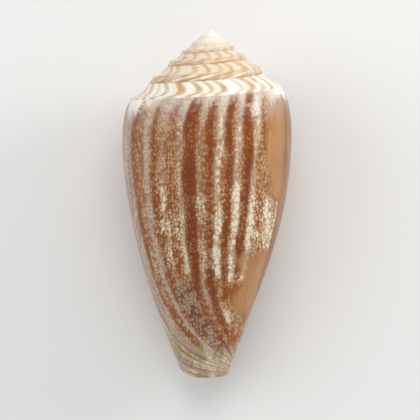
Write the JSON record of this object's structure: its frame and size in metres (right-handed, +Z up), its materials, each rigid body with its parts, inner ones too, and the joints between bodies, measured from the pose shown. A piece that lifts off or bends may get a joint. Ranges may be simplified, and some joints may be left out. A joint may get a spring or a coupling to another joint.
{
  "type": "cone shell",
  "caption": "Empty cone snail shell with a stepped conical spire, tented brown markings and a long narrow opening.",
  "frame": {"origin": "middle of the bounding box's underside, on the surface that the shell lies on", "axes": "+Z up, +Y towards the apex along the shell, +X to the right seen from above with the apex away"},
  "size_m": [0.0264, 0.0538, 0.0251],
  "materials": {
    "shell": "glossy, cream with red-brown streaks and fine tented netting"
  },
  "bodies": {
    "root": {"shell": "shell"}
  },
  "joints": []
}
